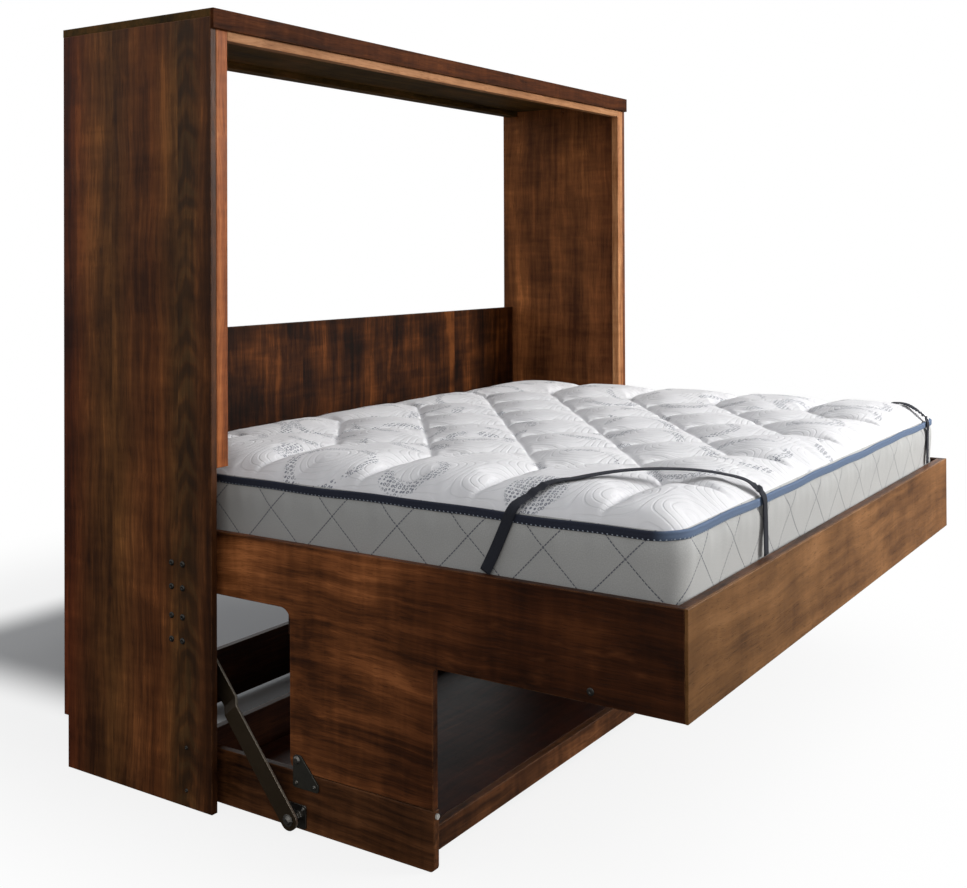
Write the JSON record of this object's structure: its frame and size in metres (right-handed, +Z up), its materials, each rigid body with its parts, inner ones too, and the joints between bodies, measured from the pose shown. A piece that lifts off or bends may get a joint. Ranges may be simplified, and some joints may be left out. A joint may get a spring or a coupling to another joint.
{
  "type": "cabinet bed",
  "caption": "Sideways wall bed shown lowered: open cabinet with back board, deep bed frame with quilted mattress, and a level desk carried under it on pivoting side arms.",
  "frame": {"origin": "floor level, centred between the ends and between the cabinet's back and the lowered bed's front face", "axes": "+X along the cabinet to the right as seen from the room, +Y from the room towards the wall, +Z up"},
  "size_m": [2.201, 1.6538, 1.864],
  "materials": {
    "dark_wood": "satin",
    "plain_wood": "matte",
    "amber_wood": "satin",
    "pale_wood": "satin",
    "dark_steel": "satin",
    "bronze_steel": "satin",
    "bright_steel": "bright",
    "bush_plastic": "matte",
    "pale_rubber": "matte",
    "mattress_cloth": "woven",
    "strap_cloth": "woven"
  },
  "bodies": {
    "cabinet": {"side_panel_left": "dark_wood", "side_panel_right": "dark_wood", "filler_stile_left": "amber_wood", "filler_stile_right": "amber_wood", "bed_pivot_plates": "dark_steel", "arm_pivot_plates": "dark_steel", "top_panel": "dark_wood", "top_fascia": "dark_wood", "top_filler": "pale_wood", "back_cleat": "dark_wood", "headboard": "dark_wood", "wall_cleat": "plain_wood", "front_stretcher": "dark_wood", "rear_stretcher": "dark_wood", "plate_bolts": "bright_steel", "plate_nuts": "bright_steel", "stretcher_screws": "bright_steel", "arm_pivot_nuts": "bright_steel"},
    "bed": {"side_board_left": "dark_wood", "side_board_right": "dark_wood", "foot_rail": "dark_wood", "foot_face": "dark_wood", "head_rail": "dark_wood", "cross_rail": "dark_wood", "face_panel_front": "dark_wood", "face_panel_rear": "dark_wood", "ribs": "plain_wood", "slat_ledgers": "plain_wood", "slats": "plain_wood", "mattress": "mattress_cloth", "corner_strap_left": "strap_cloth", "corner_strap_right": "strap_cloth", "bed_pivot_bushes": "bush_plastic", "rail_bolts": "bright_steel"},
    "desk": {"desk_side_left": "dark_wood", "desk_side_right": "dark_wood", "desk_top": "dark_wood", "desk_front_rail": "dark_wood", "desk_back_rail": "dark_wood", "desk_ribs": "plain_wood", "pivot_brackets": "dark_steel", "arm_studs": "bright_steel", "desk_pivot_bolts": "bright_steel", "desk_screws": "bright_steel", "leg_pads": "pale_rubber", "desk_bumpers": "pale_rubber"},
    "arm_left": {"control_arm_left": "bronze_steel"},
    "arm_right": {"control_arm_right": "bronze_steel"}
  },
  "joints": [
    {"name": "bed_lift", "type": "hinge", "parent": "cabinet", "child": "bed", "pos_m": [0, 0.42509, 0.537], "axis": [-1, 0, 0], "range_deg": [0, 90]},
    {"name": "desk_level", "type": "hinge", "parent": "bed", "child": "desk", "pos_m": [0, 0.10709, 0.155], "axis": [1, 0, 0], "range_deg": [0, 90]},
    {"name": "arm_left_swing", "type": "hinge", "parent": "cabinet", "child": "arm_left", "pos_m": [-1.0557, 0.42509, 0.413], "axis": [-1, 0, 0], "range_deg": [0, 90]},
    {"name": "arm_right_swing", "type": "hinge", "parent": "cabinet", "child": "arm_right", "pos_m": [1.0557, 0.42509, 0.413], "axis": [-1, 0, 0], "range_deg": [0, 90]}
  ],
  "couplings": [
    {"joint": "desk_level", "follows": "bed_lift", "ratio": 1},
    {"joint": "arm_left_swing", "follows": "bed_lift", "ratio": 1},
    {"joint": "arm_right_swing", "follows": "bed_lift", "ratio": 1}
  ]
}
